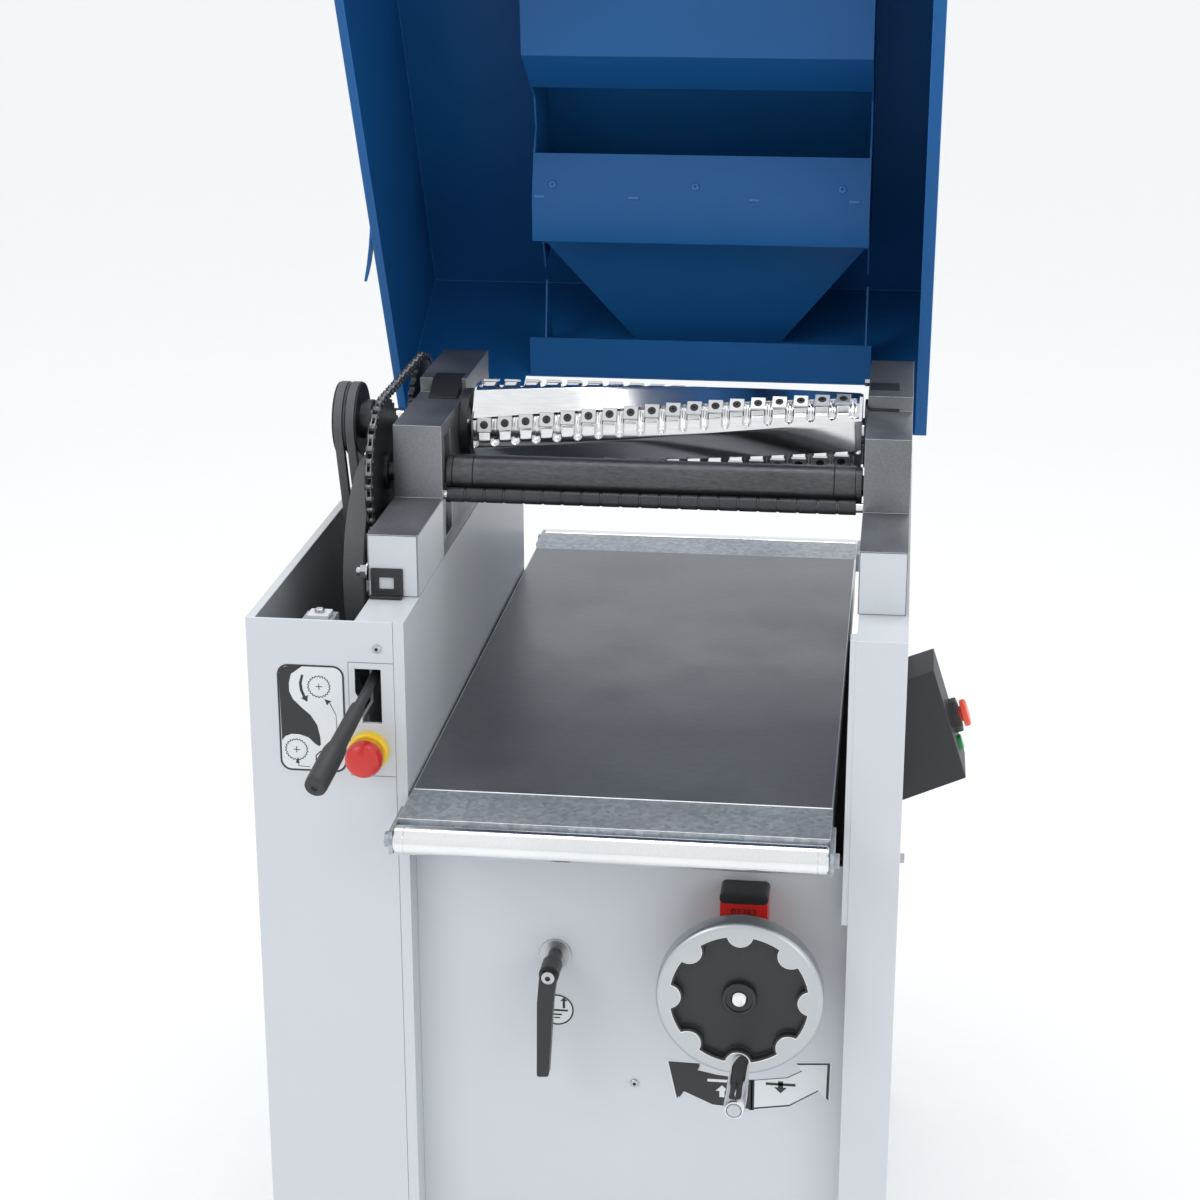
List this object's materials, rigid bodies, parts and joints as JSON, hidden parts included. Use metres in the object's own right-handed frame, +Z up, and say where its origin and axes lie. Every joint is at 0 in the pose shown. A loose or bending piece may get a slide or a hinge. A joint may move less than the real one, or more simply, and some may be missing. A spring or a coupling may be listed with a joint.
{
  "type": "thickness planer",
  "caption": "Cabinet thickness planer with a rising table, spiral cutterhead, feed rollers, side castings, front handwheel and a tilting extraction hood.",
  "frame": {"origin": "on the floor, at the centre of the four anchor holes of the base", "axes": "+X to the operator's right, +Y along the feed direction away from the operator, +Z up"},
  "size_m": [0.7097, 1.1331, 1.6315],
  "materials": {
    "cabinet_paint": "light grey powder coat, fine orange-peel",
    "hood_paint": "blue powder coat, semi-gloss",
    "machined_iron": "ground faces, fine scratches",
    "table_iron": "planed and ground, light oil film",
    "bright_steel": "turned and polished",
    "dark_steel": "oil-blackened",
    "zinc_plate": "galvanised spangle",
    "carbide": "ground carbide",
    "chrome": "polished chrome",
    "cast_aluminium": "cast, lightly textured",
    "belt_rubber": "matt",
    "black_plastic": "fine grain",
    "red_plastic": "moulded",
    "yellow_plastic": "moulded",
    "green_plastic": "moulded",
    "indicator_plastic": "moulded, clear window"
  },
  "bodies": {
    "cabinet": {"base_frame": "cabinet_paint", "left_column": "cabinet_paint", "left_front_cover": "cabinet_paint", "belt_guard": "cabinet_paint", "right_column": "cabinet_paint", "front_panel": "cabinet_paint", "rear_panel": "cabinet_paint", "cross_members": "cabinet_paint", "left_casting": "machined_iron", "right_casting": "machined_iron", "cutter_bearings": "bright_steel", "bearing_caps": "dark_steel", "bearing_blocks": "machined_iron", "block_springs": "dark_steel", "chip_breaker": "machined_iron", "pressure_bar": "machined_iron", "kickback_shaft": "bright_steel", "roller_chains": "dark_steel", "drive_belts": "belt_rubber", "feed_gearbox": "cast_aluminium", "main_motor": "cast_aluminium", "position_indicator": "indicator_plastic", "clamp_stud": "bright_steel", "estop_base": "yellow_plastic", "lever_pivot": "bright_steel", "switch_box": "black_plastic", "latch_strike": "black_plastic", "hinge_brackets": "dark_steel", "hinge_pins": "bright_steel"},
    "cutter": {"cutterhead": "bright_steel", "cutter_inserts": "carbide", "cutter_pulley": "dark_steel"},
    "motor_rotor": {"motor_pulley": "machined_iron"},
    "infeed": {"infeed_roller": "dark_steel", "infeed_sprocket": "dark_steel"},
    "outfeed": {"outfeed_roller": "bright_steel", "outfeed_sprocket": "dark_steel"},
    "feed_drive": {"drive_sprocket": "dark_steel"},
    "feed_input": {"feed_wheel": "machined_iron"},
    "kickback": {"kickback_fingers": "dark_steel"},
    "table": {"table": "table_iron", "table_plates": "zinc_plate", "roller_brackets": "zinc_plate", "lift_screws": "bright_steel"},
    "front_table_roller": {"front_roller": "bright_steel"},
    "rear_table_roller": {"rear_roller": "bright_steel"},
    "front_nut": {"lift_nut_front": "dark_steel"},
    "rear_nut": {"lift_nut_rear": "dark_steel"},
    "handwheel": {"handwheel": "chrome", "handwheel_knob": "black_plastic", "handwheel_shaft": "bright_steel"},
    "crank": {"crank_handle": "chrome"},
    "clamp": {"clamp_lever": "black_plastic"},
    "lever": {"feed_lever": "dark_steel", "lever_knob": "black_plastic"},
    "estop": {"estop_button": "red_plastic"},
    "stop": {"stop_button": "red_plastic"},
    "start": {"start_button": "green_plastic"},
    "hood": {"hood_shell": "hood_paint", "hood_duct": "hood_paint"}
  },
  "joints": [
    {"name": "hood_hinge", "type": "hinge", "parent": "cabinet", "child": "hood", "pos_m": [0.053, 0.354, 0.891], "axis": [1, 0, 0], "range_deg": [0, 62]},
    {"name": "cutter_spin", "type": "hinge", "parent": "cabinet", "child": "cutter", "pos_m": [0, -0.025, 0.991], "axis": [1, 0, 0], "continuous": true},
    {"name": "motor_spin", "type": "hinge", "parent": "cabinet", "child": "motor_rotor", "pos_m": [-0.2, 0.23, 0.3], "axis": [1, 0, 0], "continuous": true},
    {"name": "feed_input_spin", "type": "hinge", "parent": "cabinet", "child": "feed_input", "pos_m": [-0.24, -0.09, 0.855], "axis": [1, 0, 0], "continuous": true},
    {"name": "infeed_spin", "type": "hinge", "parent": "cabinet", "child": "infeed", "pos_m": [0.05, -0.125, 0.962], "axis": [1, 0, 0], "continuous": true},
    {"name": "outfeed_spin", "type": "hinge", "parent": "cabinet", "child": "outfeed", "pos_m": [0.05, 0.08, 0.962], "axis": [1, 0, 0], "continuous": true},
    {"name": "feed_drive_spin", "type": "hinge", "parent": "cabinet", "child": "feed_drive", "pos_m": [-0.228, -0.022, 0.8], "axis": [1, 0, 0], "continuous": true},
    {"name": "kickback_swing", "type": "hinge", "parent": "cabinet", "child": "kickback", "pos_m": [0.05, -0.148, 0.945], "axis": [1, 0, 0], "range_deg": [0, 22]},
    {"name": "handwheel_turn", "type": "hinge", "parent": "cabinet", "child": "handwheel", "pos_m": [0.1675, -0.4, 0.527], "axis": [0, -1, 0], "range_deg": [0, 41400]},
    {"name": "table_lift", "type": "slide", "parent": "cabinet", "child": "table", "axis": [0, 0, 1], "range_m": [-0.0001, 0.2301]},
    {"name": "front_nut_turn", "type": "hinge", "parent": "cabinet", "child": "front_nut", "pos_m": [0.1675, -0.15, 0.45], "axis": [0, 0, 1], "range_deg": [-20710, 10]},
    {"name": "rear_nut_turn", "type": "hinge", "parent": "cabinet", "child": "rear_nut", "pos_m": [-0.0755, 0.08, 0.45], "axis": [0, 0, 1], "range_deg": [-20710, 10]},
    {"name": "crank_spin", "type": "hinge", "parent": "handwheel", "child": "crank", "pos_m": [0.1705, -0.47, 0.461], "axis": [0, -1, 0], "continuous": true},
    {"name": "front_roller_spin", "type": "hinge", "parent": "table", "child": "front_table_roller", "pos_m": [0.046, -0.4485, 0.691], "axis": [1, 0, 0], "continuous": true},
    {"name": "rear_roller_spin", "type": "hinge", "parent": "table", "child": "rear_table_roller", "pos_m": [0.046, 0.5345, 0.691], "axis": [1, 0, 0], "continuous": true},
    {"name": "clamp_turn", "type": "hinge", "parent": "cabinet", "child": "clamp", "pos_m": [-0.022, -0.36, 0.5255], "axis": [0, -1, 0], "range_deg": [-10, 90]},
    {"name": "feed_lever_tilt", "type": "hinge", "parent": "cabinet", "child": "lever", "pos_m": [-0.1845, -0.3, 0.84], "axis": [1, 0, 0], "range_deg": [-6, 13]},
    {"name": "estop_push", "type": "slide", "parent": "cabinet", "child": "estop", "axis": [0, 1, 0], "range_m": [0, 0.005], "stiffness_N_per_m": 1200},
    {"name": "stop_push", "type": "slide", "parent": "cabinet", "child": "stop", "axis": [-0.9511, 0, -0.309], "range_m": [0, 0.0025], "stiffness_N_per_m": 1000},
    {"name": "start_push", "type": "slide", "parent": "cabinet", "child": "start", "axis": [-0.9511, 0, -0.309], "range_m": [0, 0.0025], "stiffness_N_per_m": 1000}
  ],
  "couplings": [
    {"joint": "motor_spin", "follows": "cutter_spin", "ratio": 0.625},
    {"joint": "feed_input_spin", "follows": "cutter_spin", "ratio": 0.17938},
    {"joint": "outfeed_spin", "follows": "infeed_spin", "ratio": 1},
    {"joint": "feed_drive_spin", "follows": "infeed_spin", "ratio": 1.9474},
    {"joint": "table_lift", "follows": "handwheel_turn", "m_per_rad": 0.00031831},
    {"joint": "front_nut_turn", "follows": "handwheel_turn", "ratio": -0.5},
    {"joint": "rear_nut_turn", "follows": "handwheel_turn", "ratio": -0.5}
  ]
}
